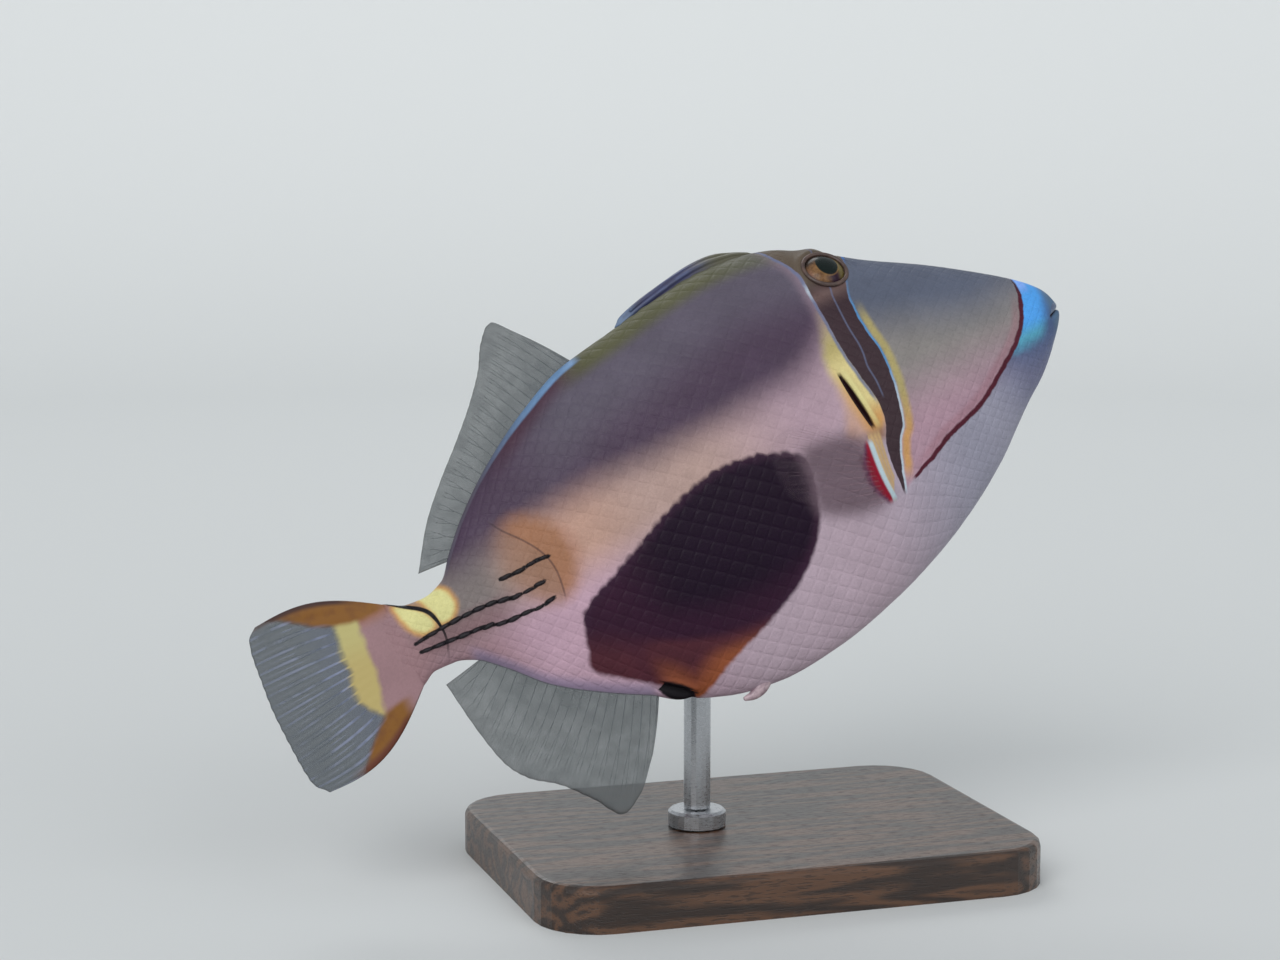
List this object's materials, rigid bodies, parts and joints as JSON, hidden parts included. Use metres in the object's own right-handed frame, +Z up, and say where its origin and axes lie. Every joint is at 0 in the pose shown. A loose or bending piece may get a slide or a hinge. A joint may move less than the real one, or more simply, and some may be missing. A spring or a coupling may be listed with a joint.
{
  "type": "blackbelly triggerfish display model",
  "caption": "Life-size reef triggerfish, swimming nose up and banked, held by one rod on a flat base; a still display model.",
  "frame": {"origin": "middle of the underside of the stand's base", "axes": "+Z up, +X the way the fish heads, +Y towards the fish's left side"},
  "size_m": [0.1871, 0.084, 0.1373],
  "materials": {
    "skin": "scaled fish skin, pale lilac and grey with dark belly patch, satin",
    "lips": "smooth blue lips and pale teeth, satin",
    "eye": "glossy eye, golden brown iris, dark pupil",
    "dark_spines": "blue-black folded fin spines, satin",
    "fin": "thin translucent grey fin membrane with rays",
    "stand_wood": "dark stained wood, satin varnish",
    "stand_steel": "brushed steel"
  },
  "bodies": {
    "root": {"head": "skin", "trunk": "skin", "tail_stalk": "skin", "pelvic_spine": "skin", "jaw_upper": "lips", "jaw_lower": "lips", "eye_left": "eye", "eye_right": "eye", "first_dorsal_fin": "dark_spines", "dorsal_fin": "fin", "anal_fin": "fin", "tail_fin": "fin", "pectoral_fin_left": "fin", "pectoral_fin_right": "fin", "stand_base": "stand_wood", "stand_collar": "stand_steel", "stand_rod": "stand_steel"}
  },
  "joints": []
}
